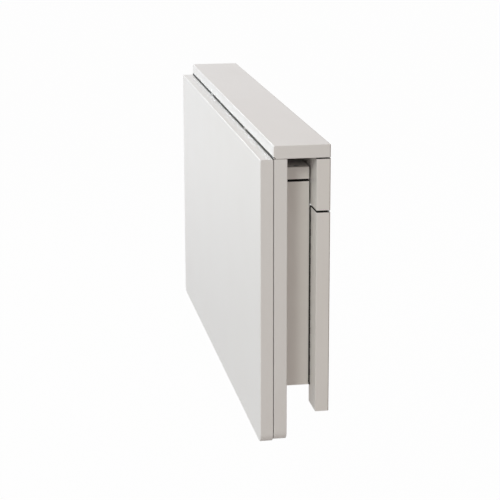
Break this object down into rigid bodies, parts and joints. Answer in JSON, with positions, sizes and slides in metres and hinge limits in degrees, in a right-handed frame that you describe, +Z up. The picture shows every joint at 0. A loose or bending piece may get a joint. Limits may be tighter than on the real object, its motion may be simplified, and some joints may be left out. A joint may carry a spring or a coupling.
{
  "type": "wall-mounted folding desk",
  "caption": "White wall desk that folds flat: a shallow fixed shelf, a hanging two-part leaf that lifts and unfolds, and two swing gates that carry it.",
  "frame": {"origin": "middle of the back rail's line of four wall holes, on the wall plane", "axes": "+X along the wall to the right as one faces it, +Y into the wall, +Z up; the front faces -Y"},
  "size_m": [0.8, 0.096, 0.4209],
  "materials": {
    "white_lacquer": "furniture board in white satin lacquer",
    "beech_dowel": "plain beech",
    "satin_steel": "satin nickel-plated steel",
    "black_steel": "matt black coated steel",
    "zinc_steel": "zinc-plated steel",
    "rubber_pad": "black rubber bumper",
    "magnet_nickel": "nickel-plated magnet"
  },
  "bodies": {
    "root": {"back_rail": "white_lacquer", "gate_left_hinge_pin": "black_steel", "gate_left_hinge_post_plate": "black_steel", "gate_right_hinge_pin": "black_steel", "gate_right_hinge_post_plate": "black_steel", "joining_plate_left": "zinc_steel", "joining_plate_right": "zinc_steel", "joining_screws": "zinc_steel", "panel_dowels": "beech_dowel", "panel_hinge_screws": "zinc_steel", "post_hinge_screws": "zinc_steel", "post_left": "white_lacquer", "post_right": "white_lacquer", "top_hinge_left_panel_plate": "black_steel", "top_hinge_left_pin": "black_steel", "top_hinge_middle_panel_plate": "black_steel", "top_hinge_middle_pin": "black_steel", "top_hinge_right_panel_plate": "black_steel", "top_hinge_right_pin": "black_steel", "top_panel": "white_lacquer"},
    "inner_leaf": {"catch_magnet_left": "magnet_nickel", "catch_magnet_right": "magnet_nickel", "fold_hinge_left_inner_plate": "satin_steel", "fold_hinge_left_pin": "satin_steel", "fold_hinge_right_inner_plate": "satin_steel", "fold_hinge_right_pin": "satin_steel", "inner_leaf_screws": "zinc_steel", "leaf_inner": "white_lacquer", "top_hinge_left_leaf_plate": "black_steel", "top_hinge_middle_leaf_plate": "black_steel", "top_hinge_right_leaf_plate": "black_steel"},
    "outer_leaf": {"catch_strike_left": "zinc_steel", "catch_strike_right": "zinc_steel", "fold_hinge_left_outer_plate": "satin_steel", "fold_hinge_right_outer_plate": "satin_steel", "leaf_outer": "white_lacquer", "outer_leaf_screws": "zinc_steel"},
    "gate_left": {"gate_left_bottom_rail": "white_lacquer", "gate_left_dowels": "beech_dowel", "gate_left_end_stile": "white_lacquer", "gate_left_hinge_gate_plate": "black_steel", "gate_left_hinge_screws": "zinc_steel", "gate_left_hinge_stile": "white_lacquer", "gate_left_rest_pad": "rubber_pad", "gate_left_screws": "zinc_steel", "gate_left_top_rail": "white_lacquer"},
    "gate_right": {"gate_right_bottom_rail": "white_lacquer", "gate_right_dowels": "beech_dowel", "gate_right_end_stile": "white_lacquer", "gate_right_hinge_gate_plate": "black_steel", "gate_right_hinge_screws": "zinc_steel", "gate_right_hinge_stile": "white_lacquer", "gate_right_rest_pad": "rubber_pad", "gate_right_screws": "zinc_steel", "gate_right_top_rail": "white_lacquer"}
  },
  "joints": [
    {"name": "leaf_lift", "type": "hinge", "parent": "root", "child": "inner_leaf", "pos_m": [0, -0.0775, 0.0373], "axis": [-1, 0, 0], "range_deg": [0, 90]},
    {"name": "leaf_unfold", "type": "hinge", "parent": "inner_leaf", "child": "outer_leaf", "pos_m": [0, -0.0775, -0.3645], "axis": [1, 0, 0], "range_deg": [0, 180]},
    {"name": "gate_left_swing", "type": "hinge", "parent": "root", "child": "gate_left", "pos_m": [-0.362, -0.01965, -0.16575], "axis": [0, 0, -1], "range_deg": [0, 0.5]},
    {"name": "gate_right_swing", "type": "hinge", "parent": "root", "child": "gate_right", "pos_m": [0.362, -0.01965, -0.16575], "axis": [0, 0, 1], "range_deg": [0, 0.5]}
  ]
}
